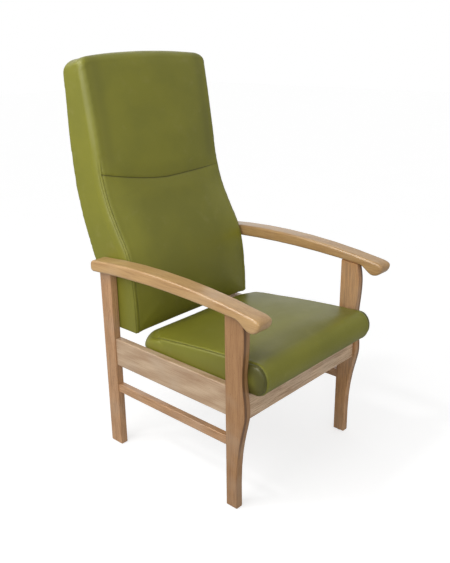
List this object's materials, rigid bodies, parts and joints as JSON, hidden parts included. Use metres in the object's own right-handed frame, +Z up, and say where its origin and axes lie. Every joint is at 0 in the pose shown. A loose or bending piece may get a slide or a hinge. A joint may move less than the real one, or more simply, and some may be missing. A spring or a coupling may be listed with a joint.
{
  "type": "high-back fireside armchair",
  "caption": "High-back fireside chair with a shaped vinyl back and seat between two beech side frames with bowed, scroll-ended arms.",
  "frame": {"origin": "on the floor, at the middle of the whole chair's footprint seen from above", "axes": "+Z up, the chair faces -Y, +X to the right for someone who looks at its front"},
  "size_m": [0.623, 0.7872, 1.207],
  "materials": {
    "beech": "satin clear lacquer",
    "plywood": "unfinished",
    "vinyl": "soft satin sheen, olive green",
    "foam": "open cells, matte",
    "webbing": "woven, matte",
    "cloth": "thin, matte",
    "steel": "bright zinc",
    "nylon": "smooth"
  },
  "bodies": {
    "root": {"front_leg_right": "beech", "front_leg_left": "beech", "rear_leg_right": "beech", "rear_leg_left": "beech", "arm_right": "beech", "arm_left": "beech", "side_rail_right": "beech", "side_rail_left": "beech", "side_stretcher_right": "beech", "side_stretcher_left": "beech", "front_rail": "beech", "rear_cross_rail": "beech", "corner_block_front_right": "beech", "corner_block_front_left": "beech", "corner_block_rear_right": "beech", "corner_block_rear_left": "beech", "glide_front_right": "nylon", "glide_front_left": "nylon", "glide_rear_right": "nylon", "glide_rear_left": "nylon", "seat_member_right": "plywood", "seat_member_left": "plywood", "seat_member_front": "plywood", "seat_member_rear": "plywood", "seat_web_1": "webbing", "seat_web_2": "webbing", "seat_web_3": "webbing", "seat_web_4": "webbing", "seat_foam": "foam", "seat_cover": "vinyl", "seat_under_cloth": "cloth", "seat_screw_front_right": "steel", "seat_screw_front_left": "steel", "seat_screw_rear_right": "steel", "seat_screw_rear_left": "steel", "back_stile_right": "plywood", "back_stile_left": "plywood", "back_rail_bottom": "plywood", "back_rail_middle": "plywood", "back_rail_top": "plywood", "back_web_1": "webbing", "back_web_2": "webbing", "back_web_3": "webbing", "back_web_4": "webbing", "back_foam": "foam", "back_cover": "vinyl", "back_rear_panel": "vinyl", "back_bolt_low_right": "steel", "back_bolt_low_left": "steel", "bolt_plug_low_right": "beech", "bolt_plug_low_left": "beech", "bolt_insert_low_right": "steel", "bolt_insert_low_left": "steel", "back_bolt_high_right": "steel", "back_bolt_high_left": "steel", "bolt_plug_high_right": "beech", "bolt_plug_high_left": "beech", "bolt_insert_high_right": "steel", "bolt_insert_high_left": "steel"}
  },
  "joints": []
}
